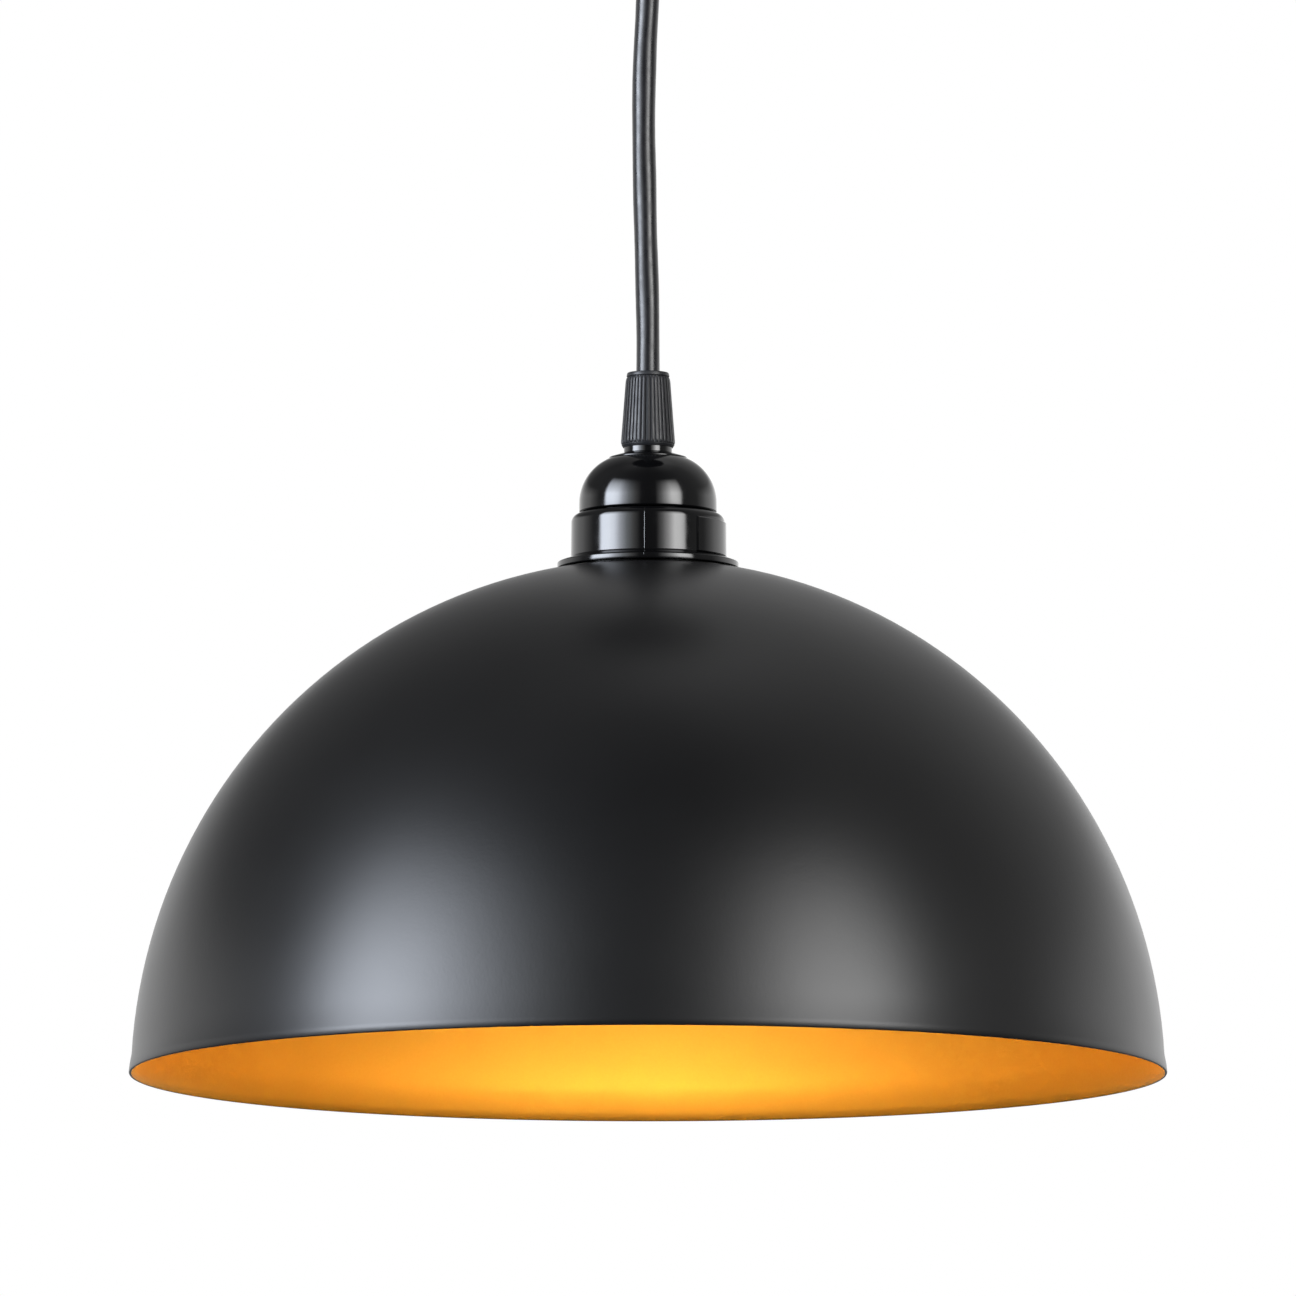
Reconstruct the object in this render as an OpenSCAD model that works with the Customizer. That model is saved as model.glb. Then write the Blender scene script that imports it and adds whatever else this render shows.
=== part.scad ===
// Pendant ceiling light: a spun dome shade on a screw-ring lamp holder, hung on a short
// length of round flex from a cup canopy. The origin is the middle of the ceiling face,
// +Z points up, and every length is in millimetres.

/* [Drop] */
// Height from the ceiling down to the rim of the shade
drop = 370; // [366:1:380]
// Most that the cord leans each way at the canopy gland, in degrees
swing = 15; // [13:1:15]

/* [Shade] */
// Outside diameter of the dome, without the flare at the rim
dome_d = 298.8; // [280:0.2:320]
// How far the rim flares out beyond the dome, on each side
rim_flare = 0.6; // [0.3:0.1:1]
// Thickness of the spun sheet
sheet_t = 0.9; // [0.7:0.1:1.2]
// Diameter of the hole for the holder's skirt
shade_hole_d = 40.5; // [40.3:0.1:41]

/* [Lamp holder] */
// Diameter of the holder's body
body_d = 44.6; // [44:0.2:46]
// Diameter of the flange that rests on the shade
flange_d = 52.7; // [50:0.1:54]
// Diameter of the domed cap
cap_d = 40; // [39.6:0.1:40.4]
// Diameter over the thread of the skirt
skirt_d = 39.5; // [39.3:0.1:39.6]

/* [Shade ring] */
// Outside diameter of the ring's flange
ring_d = 52; // [51:0.5:56]
// Height of the ring
ring_h = 7; // [6:0.5:9]
// Pitch of the thread between skirt and ring
ring_pitch = 2.5; // [2:0.1:3]

/* [Flex] */
// Outside diameter of the flex
flex_d = 6.8; // [6.4:0.1:6.8]
// Diameter of one insulated core
core_d = 2.4; // [2:0.1:2.6]

/* [Cord grip] */
// Diameter of the ribbed grip at its wide end
grip_base_d = 15.8; // [15:0.1:17]
// Diameter of the ribbed grip at its narrow end
grip_tip_d = 12.8; // [12.6:0.1:14]
// Length of the ribbed grip
grip_l = 22; // [22:0.5:23]
// Number of ribs round the grip
grip_ribs = 36; // [24:4:48]

/* [Canopy] */
// Outside diameter of the canopy
canopy_d = 100; // [98:1:110]
// Height of the canopy
canopy_h = 28; // [28:0.5:29]
// Distance between the two ceiling screw holes
ceiling_holes = 60; // [58:1:62]

/* [Bulb] */
// Diameter of the globe
globe_d = 60; // [55:1:65]

/* [Hidden] */
$fn = 96;
eps = 0.01;

// Heights over the rim of the shade, which are carried down by the drop.
rim_z = -drop;
dome_r = dome_d / 2;
dome_sink = 3;
dome_lift = 2.6;
dome_rise = dome_r + dome_lift;
flare_h = 4.5;
seat_top = 146.6;
seat_under = seat_top - sheet_t;
holder_top = 181;
shell_top = 163.2;
shell_ledge = 150;
cap_base = 163.4;
cap_cavity_top = 177.4;
cap_skirt_end = 153;
skirt_end = 124;
insert_roof = 160;
insert_top = 166;
sleeve_end = 128;
rivet_x = [-8, 12];
rivet_d = 2.4;
terminal_x = 9.5;
terminal_h = 5;
bulb_top = 157.5;
contact_h = 1.6;
cone_h = 3.4;
bulb_collar = 131.5;
board_h = 98;
globe_centre = 81.5;

// Thread of an E27 lamp: crests of the lamp's cap stay clear of the holder's screw shell.
e27_pitch = 3.629;
e27_cap_crest = 13.1;
e27_shell_crest = 13.4;
e27_depth = 0.8;
brass_t = 0.35;

// Cord grip, measured from its wide end. The lamp's grip closes on the flex, and the
// canopy's gland is flared so that the flex can lean in it.
grip_collar_h = 1.5;
grip_bore = 3.7;
grip_collar_r = 7;
grip_socket_r = 5.9;
grip_stub_r = 5.6;
grip_throat_r = 4.2;
grip_mouth_r = 3.6;
m10_r = 4.9;
grip_base_z = rim_z + holder_top + grip_collar_h;
grip_tip_z = grip_base_z + grip_l;
nut_h = 3;
nut_flats = 13;

// Canopy.
canopy_t = 1;
canopy_corner = 6;
gland_base_z = -canopy_h - grip_collar_h;
gland_mouth_z = gland_base_z - grip_l;
pivot_depth = 3.5;
pivot_z = gland_mouth_z + pivot_depth;
gland_play = 0.74;
gland_mouth_r = flex_d / 2 / cos(swing) + pivot_depth * tan(swing) + gland_play;
gland_throat_r = gland_mouth_r - 0.3;
strap_w = 24;
strap_t = 1.5;
strap_half = 46;
strap_leg = 16;
side_screw_z = -9;
supply_hole_x = -14;
earth_x = -38;
block_x = 0;
block_pitch = 8;
block_w = 16;
block_h = 11.5;
block_ways = 3;
barrel_d = 4.5;
clamp_y = 4;
barrel_z = -strap_t - 5.5;

// Route of the flex from the gland's pivot to the top of the cord grip, with the slight
// bow that the flex keeps from its reel.
flex_route = [
    [0, 0, pivot_z], [0, 0, -52], [-0.3, 0, -60], [-0.7, 0, -68], [-1, 0, -76],
    [-1.2, 0, -84], [-1.25, 0, -92], [-1.15, 0, -100], [-1, 0, -108], [-0.9, 0, -116],
    [-0.7, 0, -124], [-0.45, 0, -132], [-0.25, 0, -140], [-0.1, 0, -148], [0, 0, -156],
    [0, 0, grip_tip_z]
];
// Cores inside the canopy, from the end of the sheath to the terminal block.
tail_z = -21;
core_gap = 0.05;
tail_live_route = [
    [-1.6, 0, tail_z + core_gap], [-1.6, 0, -19.4], [-1.3, -1.7, -18.2], [-0.4, -4.6, -17],
    [1.2, -8.2, -15.4], [2.8, -11, -12.6], [3.8, -11.8, -9.8], [4, -11, -7.9], [4, -9.6, -7], [4, -8, -7]
];
tail_neutral_route = [
    [1.6, 0, tail_z + core_gap], [1.6, 0, -19.4], [2.2, -1.5, -18.3], [4, -4, -17.4], [6.6, -7, -16],
    [9.2, -10.2, -14], [11, -12, -11.2], [11.9, -12, -9], [12, -11, -7.6], [12, -9.6, -7], [12, -8, -7]
];
// One core inside the holder's cap: x outwards, z over the rim.
sheath_end = 173;
holder_core_route = [
    [1.6, 0, sheath_end - core_gap], [1.6, 0, 171.6], [2.2, 0, 170.3], [3.4, 0, 169.2],
    [5, 0, 168.7], [6.95, 0, 168.7]
];

// ---- shared shapes ----

function reversed(v) = [for (i = [len(v) - 1:-1:0]) v[i]];

function unit(v) = v / norm(v);

function heading(path, i) = unit(path[min(i + 1, len(path) - 1)] - path[max(i - 1, 0)]);

// Outline of a rolled thread along +Z: flats at r_root and r_crest joined by slopes.
function thread_line(r_root, r_crest, pitch, length) =
    let (turns = floor(length / pitch - 0.2), lead = (length - turns * pitch) / 2)
    concat(
        [[r_root, 0]],
        [for (i = [0:turns - 1], q = [[0.15, r_root], [0.35, r_crest], [0.65, r_crest], [0.85, r_root]])
            [q[1], lead + (i + q[0]) * pitch]],
        [[r_root, length]]
    );

module tube(od, id, h) {
    difference() {
        cylinder(d = od, h = h);
        translate([0, 0, -1]) cylinder(d = id, h = h + 2);
    }
}

// Round flex or core swept along a path; side is a direction that the path never takes.
module swept(path, r, side, sides = 12) {
    n = len(path);
    points = [
        for (i = [0:n - 1], k = [0:sides - 1])
            let (t = heading(path, i), u = unit(cross(side, t)), v = cross(t, u), a = 360 * k / sides)
            path[i] + r * (cos(a) * u + sin(a) * v)
    ];
    walls = [
        for (i = [0:n - 2], k = [0:sides - 1])
            let (k2 = (k + 1) % sides)
            [i * sides + k, (i + 1) * sides + k, (i + 1) * sides + k2, i * sides + k2]
    ];
    first = [for (k = [0:sides - 1]) k];
    last = [for (k = [sides - 1:-1:0]) (n - 1) * sides + k];
    polyhedron(points = points, faces = concat([first], walls, [last]));
}

// Screw with a slotted round head: head below z = 0, shank above it.
module slotted_screw(head_d, head_h, shank_d, shank_l) {
    slot_w = head_d * 0.16;
    difference() {
        union() {
            translate([0, 0, -head_h]) cylinder(d = head_d, h = head_h);
            translate([0, 0, -eps]) cylinder(d = shank_d, h = shank_l + eps);
        }
        translate([-head_d, -slot_w / 2, -head_h - 1]) cube([2 * head_d, slot_w, 1 + head_h * 0.4]);
    }
}

// ---- cord grip, standing on its wide end at z = 0 ----

module ribbed_taper(h) {
    rib_depth = 0.35;
    step = 360 / grip_ribs;
    outline = [
        for (i = [0:grip_ribs - 1], q = [[0.1, 0], [0.25, 1], [0.75, 1], [0.9, 0]])
            let (r = grip_base_d / 2 - rib_depth * (1 - q[1]), a = (i + q[0]) * step)
            [r * cos(a), r * sin(a)]
    ];
    linear_extrude(height = h, scale = grip_tip_d / grip_base_d) polygon(outline);
}

module grip_cap_shape(throat_r, mouth_r) {
    lip = 1;
    crown = 1.5;
    seat_z = 12;
    throat_z = 15.5;
    difference() {
        union() {
            cylinder(r1 = grip_base_d / 2 - 0.8, r2 = grip_base_d / 2 - 0.2, h = lip);
            translate([0, 0, lip - eps]) ribbed_taper(grip_l - lip - crown + eps);
            translate([0, 0, grip_l - crown - eps])
                cylinder(r1 = grip_tip_d / 2 - 0.1, r2 = grip_tip_d / 2 - 0.9, h = crown + eps);
        }
        translate([0, 0, -1]) cylinder(r = grip_socket_r, h = seat_z + 1);
        translate([0, 0, seat_z - eps])
            cylinder(r1 = grip_socket_r, r2 = throat_r, h = throat_z - seat_z + eps);
        translate([0, 0, throat_z - eps])
            cylinder(r1 = throat_r, r2 = mouth_r, h = grip_l - throat_z + 2 * eps);
    }
}

module grip_body_shape() {
    thread_up = 7.5;
    thread_down = 7.5;
    bottom = -grip_collar_h - thread_down;
    difference() {
        union() {
            translate([0, 0, bottom]) cylinder(r = m10_r, h = thread_down + eps);
            translate([0, 0, -grip_collar_h]) cylinder(r = grip_collar_r, h = grip_collar_h);
            cylinder(r = grip_stub_r, h = thread_up);
        }
        translate([0, 0, bottom - 1]) cylinder(r = grip_bore, h = thread_up - bottom + 2);
    }
}

module grip_collet_shape(collet_h) {
    collet_z = 8;
    foot_r = 5.3;
    nose_r = 4.4;
    slot = 0.8;
    difference() {
        translate([0, 0, collet_z]) cylinder(r1 = foot_r, r2 = nose_r, h = collet_h);
        translate([0, 0, collet_z - 1]) cylinder(r = flex_d / 2 + 0.05, h = collet_h + 2);
        for (a = [0, 90])
            rotate(a) translate([-foot_r - 1, -slot / 2, collet_z + 2])
                cube([2 * foot_r + 2, slot, collet_h]);
    }
}

module grip_nut_shape(wall) {
    translate([0, 0, -grip_collar_h - wall - nut_h])
        difference() {
            cylinder(d = nut_flats / cos(30), h = nut_h, $fn = 6);
            translate([0, 0, -1]) cylinder(r = m10_r + 0.05, h = nut_h + 2);
        }
}

module at_grip() {
    translate([0, 0, grip_base_z]) children();
}

module at_gland() {
    translate([0, 0, gland_base_z]) mirror([0, 0, 1]) children();
}

// ---- ceiling side ----

module ceiling_bracket() {
    ceiling_hole_d = 4.5;
    supply_hole_d = 12;
    earth_hole_d = 4.1;
    side_hole_d = 3.2;
    color("silver")
    difference() {
        union() {
            translate([-strap_half, -strap_w / 2, -strap_t]) cube([2 * strap_half, strap_w, strap_t]);
            for (side = [0, 1])
                mirror([side, 0, 0])
                    translate([strap_half - strap_t, -strap_w / 2, -strap_leg])
                        cube([strap_t, strap_w, strap_leg - strap_t / 2]);
        }
        for (x = [-ceiling_holes / 2, ceiling_holes / 2])
            translate([x, 0, -strap_t - 1]) cylinder(d = ceiling_hole_d, h = strap_t + 2);
        translate([supply_hole_x, 0, -strap_t - 1]) cylinder(d = supply_hole_d, h = strap_t + 2);
        translate([earth_x, 0, -strap_t - 1]) cylinder(d = earth_hole_d, h = strap_t + 2);
        translate([-strap_half - 1, 0, side_screw_z])
            rotate([0, 90, 0]) cylinder(d = side_hole_d, h = 2 * strap_half + 2);
    }
}

module earth_screw() {
    head_d = 8;
    head_h = 2.6;
    shank_d = 3.9;
    color("gold") translate([earth_x, 0, -strap_t]) slotted_screw(head_d, head_h, shank_d, strap_t - 0.1);
}

function block_place(i) = block_x + (i + 0.5) * block_pitch;

module terminal_block() {
    foot_h = 3;
    foot_gap = 1.2;
    well_d = 4.2;
    well_h = 6;
    color("ivory")
    difference() {
        union() {
            translate([block_x, -block_w / 2, -strap_t - block_h])
                cube([block_ways * block_pitch, block_w, block_h - foot_h]);
            for (i = [0:block_ways - 1])
                translate([block_x + i * block_pitch + foot_gap / 2, -block_w / 2 + 2, -strap_t - foot_h - eps])
                    cube([block_pitch - foot_gap, block_w - 4, foot_h + eps]);
        }
        for (i = [0:block_ways - 1]) {
            translate([block_place(i), -block_w, barrel_z])
                rotate([-90, 0, 0]) cylinder(d = barrel_d + 0.1, h = 2 * block_w);
            for (y = [-clamp_y, clamp_y])
                translate([block_place(i), y, -strap_t - block_h - 1]) cylinder(d = well_d, h = well_h + 1);
        }
    }
}

module terminal_barrels() {
    wire_bore = 2.6;
    bore_l = 4;
    length = block_w - 2;
    color("gold")
    for (i = [0:block_ways - 1])
        translate([block_place(i), -length / 2, barrel_z])
            rotate([-90, 0, 0])
                difference() {
                    cylinder(d = barrel_d, h = length);
                    for (end = [-1, length - bore_l])
                        translate([0, 0, end]) cylinder(d = wire_bore, h = bore_l + 1);
                }
}

module terminal_screws() {
    head_d = 3.8;
    head_h = 1.6;
    shank_d = 2.4;
    sunk = 2;
    color("silver")
    for (i = [0:block_ways - 1], y = [-clamp_y, clamp_y])
        translate([block_place(i), y, -strap_t - block_h + sunk]) slotted_screw(head_d, head_h, shank_d, 1);
}

// Cup outline from the axis outwards, mouth at z = 0 and floor at -h.
module cup_outline(r, h, corner) {
    translate([0, -h]) square([r - corner, h]);
    translate([0, -h + corner]) square([r, h - corner]);
    translate([r - corner, -h + corner]) circle(r = corner);
}

module canopy() {
    color("dimgray")
    difference() {
        rotate_extrude() cup_outline(canopy_d / 2, canopy_h, canopy_corner);
        translate([0, 0, eps])
            rotate_extrude()
                cup_outline(canopy_d / 2 - canopy_t, canopy_h - canopy_t + eps, canopy_corner - canopy_t);
        translate([0, 0, -canopy_h - 1]) cylinder(r = m10_r + 0.2, h = canopy_t + 2);
        translate([-canopy_d, 0, side_screw_z]) rotate([0, 90, 0]) cylinder(d = 3.6, h = 2 * canopy_d);
    }
}

module canopy_screws() {
    head_d = 7;
    head_h = 3;
    shank_d = 3;
    color("silver")
    for (side = [0, 1])
        mirror([side, 0, 0])
            translate([canopy_d / 2 + 0.05, 0, side_screw_z])
                rotate([0, -90, 0]) slotted_screw(head_d, head_h, shank_d, canopy_d / 2 - strap_half + 3);
}

module gland_body() {
    color("dimgray") at_gland() grip_body_shape();
}

module gland_nut() {
    color("silver") at_gland() grip_nut_shape(canopy_t);
}

module gland_collet() {
    color("gray") at_gland() grip_collet_shape(8.5);
}

module gland_cap() {
    color("dimgray") at_gland() grip_cap_shape(gland_throat_r, gland_mouth_r);
}

module flex_tail() {
    end_gap = 1.8;
    color("dimgray") translate([0, 0, pivot_z + end_gap])
    cylinder(d = flex_d, h = tail_z - pivot_z - end_gap);
}

module tail_live() {
    color("saddlebrown") swept(tail_live_route, core_d / 2, [1, 0, 0], 10);
}

module tail_neutral() {
    color("royalblue") swept(tail_neutral_route, core_d / 2, [1, 0.6, 0], 10);
}

// ---- cord ----

module gland_seal() {
    seal_h = 1;
    seal_d = 9.2;
    seal_bore = 7.4;
    color("gray") translate([0, 0, pivot_z - seal_h / 2]) tube(seal_d, seal_bore, seal_h);
}

module flex() {
    color("dimgray") swept(flex_route, flex_d / 2, [0, 1, 0]);
}

// ---- cord grip on the lamp ----

module grip_cap() {
    color("dimgray") at_grip() grip_cap_shape(grip_throat_r, grip_mouth_r);
}

module grip_collet() {
    color("gray") at_grip() grip_collet_shape(6);
}

module grip_body() {
    color("dimgray") at_grip() grip_body_shape();
}

module grip_nut() {
    color("silver") at_grip() grip_nut_shape(holder_top - cap_cavity_top);
}

module flex_end() {
    end_z = rim_z + sheath_end;
    color("dimgray") translate([0, 0, end_z]) cylinder(d = flex_d, h = grip_tip_z - end_z);
}

module holder_core() {
    translate([0, 0, rim_z]) swept(holder_core_route, core_d / 2, [0, 1, 0], 10);
}

module core_live() {
    color("saddlebrown") mirror([1, 0, 0]) holder_core();
}

module core_neutral() {
    color("royalblue") holder_core();
}

// ---- lamp holder ----

module holder_cap() {
    dome_bulge = 14;
    wall_h = 3;
    dome_z = cap_base + wall_h;
    disc_z = 179.3;
    disc_r = 11.4;
    bore_r = 16.2;
    skirt_r = 18.2;
    cavity_bulge = 12;
    color([0.06, 0.06, 0.07]) translate([0, 0, rim_z])
    difference() {
        rotate_extrude() {
            translate([0, cap_skirt_end]) square([skirt_r, cap_base - cap_skirt_end + eps]);
            translate([0, cap_base]) square([cap_d / 2, wall_h]);
            intersection() {
                translate([cap_d / 2 - dome_bulge, dome_z]) circle(r = dome_bulge);
                translate([0, dome_z - 1]) square([cap_d / 2, disc_z - dome_z + 1]);
            }
            translate([0, dome_z - 1]) square([cap_d / 2 - dome_bulge + 1, disc_z - dome_z + 1]);
            translate([0, disc_z - eps]) square([disc_r, holder_top - disc_z + eps]);
        }
        rotate_extrude() {
            translate([0, cap_skirt_end - 1]) square([bore_r, dome_z - cap_skirt_end + 1]);
            intersection() {
                translate([bore_r - cavity_bulge, dome_z]) circle(r = cavity_bulge);
                translate([0, dome_z - 1]) square([bore_r, cap_cavity_top - dome_z + 1]);
            }
            translate([0, dome_z - 1]) square([bore_r - cavity_bulge + 1, cap_cavity_top - dome_z + 1]);
        }
        translate([0, 0, cap_cavity_top - 1]) cylinder(r = m10_r + 0.1, h = 10);
    }
}

module holder_shell() {
    body_r = body_d / 2;
    flange_r = flange_d / 2;
    skirt_r = skirt_d / 2;
    mouth_r = 17.2;
    cap_bore = 18.4;
    foot_r = 24;
    flange_z = seat_top + 0.6;
    skirt_l = seat_top - skirt_end;
    thread = thread_line(skirt_r - 0.5, skirt_r, ring_pitch, skirt_l);
    outline = concat(
        [[mouth_r, skirt_end]],
        [for (p = thread) [p[0], skirt_end + p[1]]],
        [
            [foot_r, seat_top], [foot_r, flange_z],
            [flange_r, flange_z], [flange_r, flange_z + 0.5], [flange_r - 0.7, flange_z + 1.5],
            [body_r + 0.9, flange_z + 2.6], [body_r + 0.1, flange_z + 3],
            [body_r, shell_top - 4], [body_r - 0.3, shell_top - 1.9], [body_r - 0.9, shell_top - 0.8],
            [body_r - 1.9, shell_top],
            [cap_bore, shell_top], [cap_bore, shell_ledge], [mouth_r, shell_ledge]
        ]
    );
    color([0.06, 0.06, 0.07]) translate([0, 0, rim_z]) rotate_extrude() polygon(outline);
}

module holder_insert() {
    sleeve_bore = 15.2;
    sleeve_r = 16.9;
    ledge_r = 18.2;
    head_r = 15.9;
    color("white") translate([0, 0, rim_z])
    difference() {
        union() {
            translate([0, 0, sleeve_end]) cylinder(r = sleeve_r, h = shell_ledge - sleeve_end + eps);
            translate([0, 0, shell_ledge]) cylinder(r = ledge_r, h = cap_skirt_end - shell_ledge);
            translate([0, 0, cap_skirt_end - eps])
                cylinder(r = head_r, h = insert_top - cap_skirt_end + eps);
        }
        translate([0, 0, sleeve_end - 1]) cylinder(r = sleeve_bore, h = insert_roof - sleeve_end + 1);
        for (x = rivet_x) translate([x, 0, insert_roof - 1]) cylinder(d = rivet_d + 0.1, h = 10);
    }
}

module holder_terminals() {
    size = [6, 7, terminal_h];
    color("gold") translate([0, 0, rim_z + insert_top])
    for (side = [0, 1])
        mirror([side, 0, 0])
            difference() {
                translate([7, -size[1] / 2, 0]) cube(size);
                translate([terminal_x, 0, terminal_h / 2]) cylinder(d = 3, h = terminal_h);
            }
}

module holder_terminal_screws() {
    head_d = 4.6;
    head_h = 1.6;
    shank_d = 2.9;
    color("silver") translate([0, 0, rim_z + insert_top + terminal_h])
    for (side = [0, 1])
        mirror([side, 0, 0])
            translate([terminal_x, 0, 0])
                mirror([0, 0, 1]) slotted_screw(head_d, head_h, shank_d, 2);
}

module contact_rivets() {
    color("gold") translate([0, 0, rim_z + insert_roof])
    for (x = rivet_x) translate([x, 0, 0]) cylinder(d = rivet_d, h = insert_top - insert_roof);
}

module centre_contact() {
    strip_w = 5;
    color("gold") translate([0, strip_w / 2, rim_z + insert_roof]) rotate([90, 0, 0])
        linear_extrude(height = strip_w)
            polygon([[-9.4, 0], [-5, 0], [3, -1.5], [3, -2.1], [-5.2, -0.6], [-9.4, -0.6]]);
}

module screw_shell() {
    shell_end = 133;
    top_t = 0.6;
    top_bore = 20.4;
    length = insert_roof - top_t - shell_end;
    inner = thread_line(e27_shell_crest + e27_depth, e27_shell_crest, e27_pitch, length);
    outer = [for (p = inner) [p[0] + brass_t, p[1]]];
    color("gold") translate([0, 0, rim_z + shell_end]) {
        rotate_extrude() polygon(concat(outer, reversed(inner)));
        translate([0, 0, length - eps])
            tube(2 * (e27_shell_crest + e27_depth + brass_t), top_bore, top_t + eps);
    }
}

// ---- shade ----

// Area under the dome's outer or inner skin, which is inset from the outer one, with the
// flare at the rim. The skin is an ellipse a little taller than it is wide.
module dome_outline(inset, top) {
    wide = dome_r - inset;
    tall = dome_rise - inset;
    flare_reach = wide + rim_flare;
    intersection() {
        union() {
            translate([0, -dome_sink]) scale([wide / tall, 1]) circle(r = tall);
            polygon([[0, 0], [flare_reach, 0], [wide - 0.3, flare_h], [0, flare_h]]);
        }
        square([flare_reach, top]);
    }
}

module shade() {
    color([0.1, 0.1, 0.1]) translate([0, 0, rim_z])
    rotate_extrude()
        difference() {
            dome_outline(0, seat_top);
            dome_outline(sheet_t, seat_under);
            translate([0, seat_under - 1]) square([shade_hole_d / 2, sheet_t + 2]);
        }
}

module shade_ring() {
    bore_r = skirt_d / 2 + 0.05;
    flange_h = 2;
    grip_r = ring_d / 2 - 3;
    lugs = 12;
    lug_r = 1.6;
    thread = thread_line(bore_r + 0.5, bore_r, ring_pitch, ring_h);
    color([0.06, 0.06, 0.07]) translate([0, 0, rim_z + seat_under - ring_h]) {
        rotate_extrude()
            polygon(concat(
                reversed(thread),
                [
                    [grip_r - 0.5, 0], [grip_r, 0.5], [grip_r, ring_h - flange_h],
                    [ring_d / 2, ring_h - flange_h], [ring_d / 2, ring_h]
                ]
            ));
        for (i = [0:lugs - 1])
            rotate(i * 360 / lugs)
                translate([grip_r - 0.6, 0, 0.6]) cylinder(r = lug_r, h = ring_h - flange_h - 0.5);
    }
}

// ---- bulb ----

module bulb_contact() {
    disc_r = 4.6;
    disc_h = contact_h - 0.6;
    color("silver") translate([0, 0, rim_z + bulb_top - contact_h]) {
        cylinder(r = disc_r, h = disc_h);
        translate([0, 0, disc_h - eps]) cylinder(r1 = disc_r, r2 = 3, h = contact_h - disc_h + eps);
    }
}

module bulb_insulator() {
    foot_r = 11.6;
    tip_r = 5;
    color("black") translate([0, 0, rim_z + bulb_top - contact_h - cone_h])
    cylinder(r1 = foot_r, r2 = tip_r, h = cone_h);
}

module bulb_cap() {
    length = bulb_top - contact_h - cone_h - bulb_collar;
    outer = thread_line(e27_cap_crest - e27_depth, e27_cap_crest, e27_pitch, length);
    inner = [for (p = outer) [p[0] - brass_t, p[1]]];
    color("silver") translate([0, 0, rim_z + bulb_collar]) {
        rotate_extrude() polygon(concat(outer, reversed(inner)));
        translate([0, 0, length - brass_t])
            tube(2 * (e27_cap_crest - e27_depth) - 0.1, 17, brass_t);
    }
}

// Radius of the bulb's housing at t from 0 at the cap to 1 at the globe.
function housing_r(t) = 14 + 11.2 * pow(t, 1.8);

module bulb_housing() {
    wall = 1.5;
    steps = 8;
    length = bulb_collar - board_h;
    outer = [for (i = [0:steps]) [housing_r(i / steps), -length * i / steps]];
    inner = [for (i = [0:steps]) [housing_r(i / steps) - wall, -length * i / steps]];
    color("whitesmoke") translate([0, 0, rim_z + bulb_collar]) {
        rotate_extrude() polygon(concat(outer, reversed(inner)));
        tube(23, 20, 12);
        translate([0, 0, -1.4]) tube(26, 20, 1.4);
    }
}

module bulb_globe() {
    wall = 1.2;
    color("white") translate([0, 0, rim_z + globe_centre])
    rotate_extrude()
        intersection() {
            difference() {
                circle(d = globe_d);
                circle(d = globe_d - 2 * wall);
            }
            translate([0, -globe_d / 2]) square([globe_d, globe_d / 2 + board_h - globe_centre]);
        }
}

module led_board() {
    board_r = 22;
    board_t = 1.2;
    chips = 10;
    chip_w = 3;
    chip_t = 0.6;
    color("lightyellow") translate([0, 0, rim_z + board_h + 0.2]) {
        cylinder(r = board_r, h = board_t);
        for (i = [0:chips - 1])
            rotate(i * 360 / chips)
                translate([14, -chip_w / 2, -chip_t]) cube([chip_w, chip_w, chip_t + eps]);
    }
}

module driver_board() {
    foot = rim_z + 104;
    board = [18, 1.2, 34];
    color("seagreen") translate([-board[0] / 2, -board[1] / 2, foot]) cube(board);
    color("dimgray") translate([-3, -board[1] / 2 + eps, foot + 8]) rotate([90, 0, 0]) cylinder(d = 8, h = 7);
    color("khaki") translate([-7, board[1] / 2 - eps, foot + 4]) cube([12, 7, 10]);
}

ceiling_bracket();
earth_screw();
terminal_block();
terminal_barrels();
terminal_screws();
canopy();
canopy_screws();
gland_body();
gland_nut();
gland_collet();
gland_cap();
flex_tail();
tail_live();
tail_neutral();
gland_seal();
flex();
grip_cap();
grip_collet();
grip_body();
grip_nut();
flex_end();
core_live();
core_neutral();
holder_cap();
holder_shell();
holder_insert();
holder_terminals();
holder_terminal_screws();
contact_rivets();
centre_contact();
screw_shell();
shade();
shade_ring();
bulb_contact();
bulb_insulator();
bulb_cap();
bulb_housing();
bulb_globe();
led_board();
driver_board();
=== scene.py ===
import math

import bmesh
import bpy
from mathutils import Matrix, Vector


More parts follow.
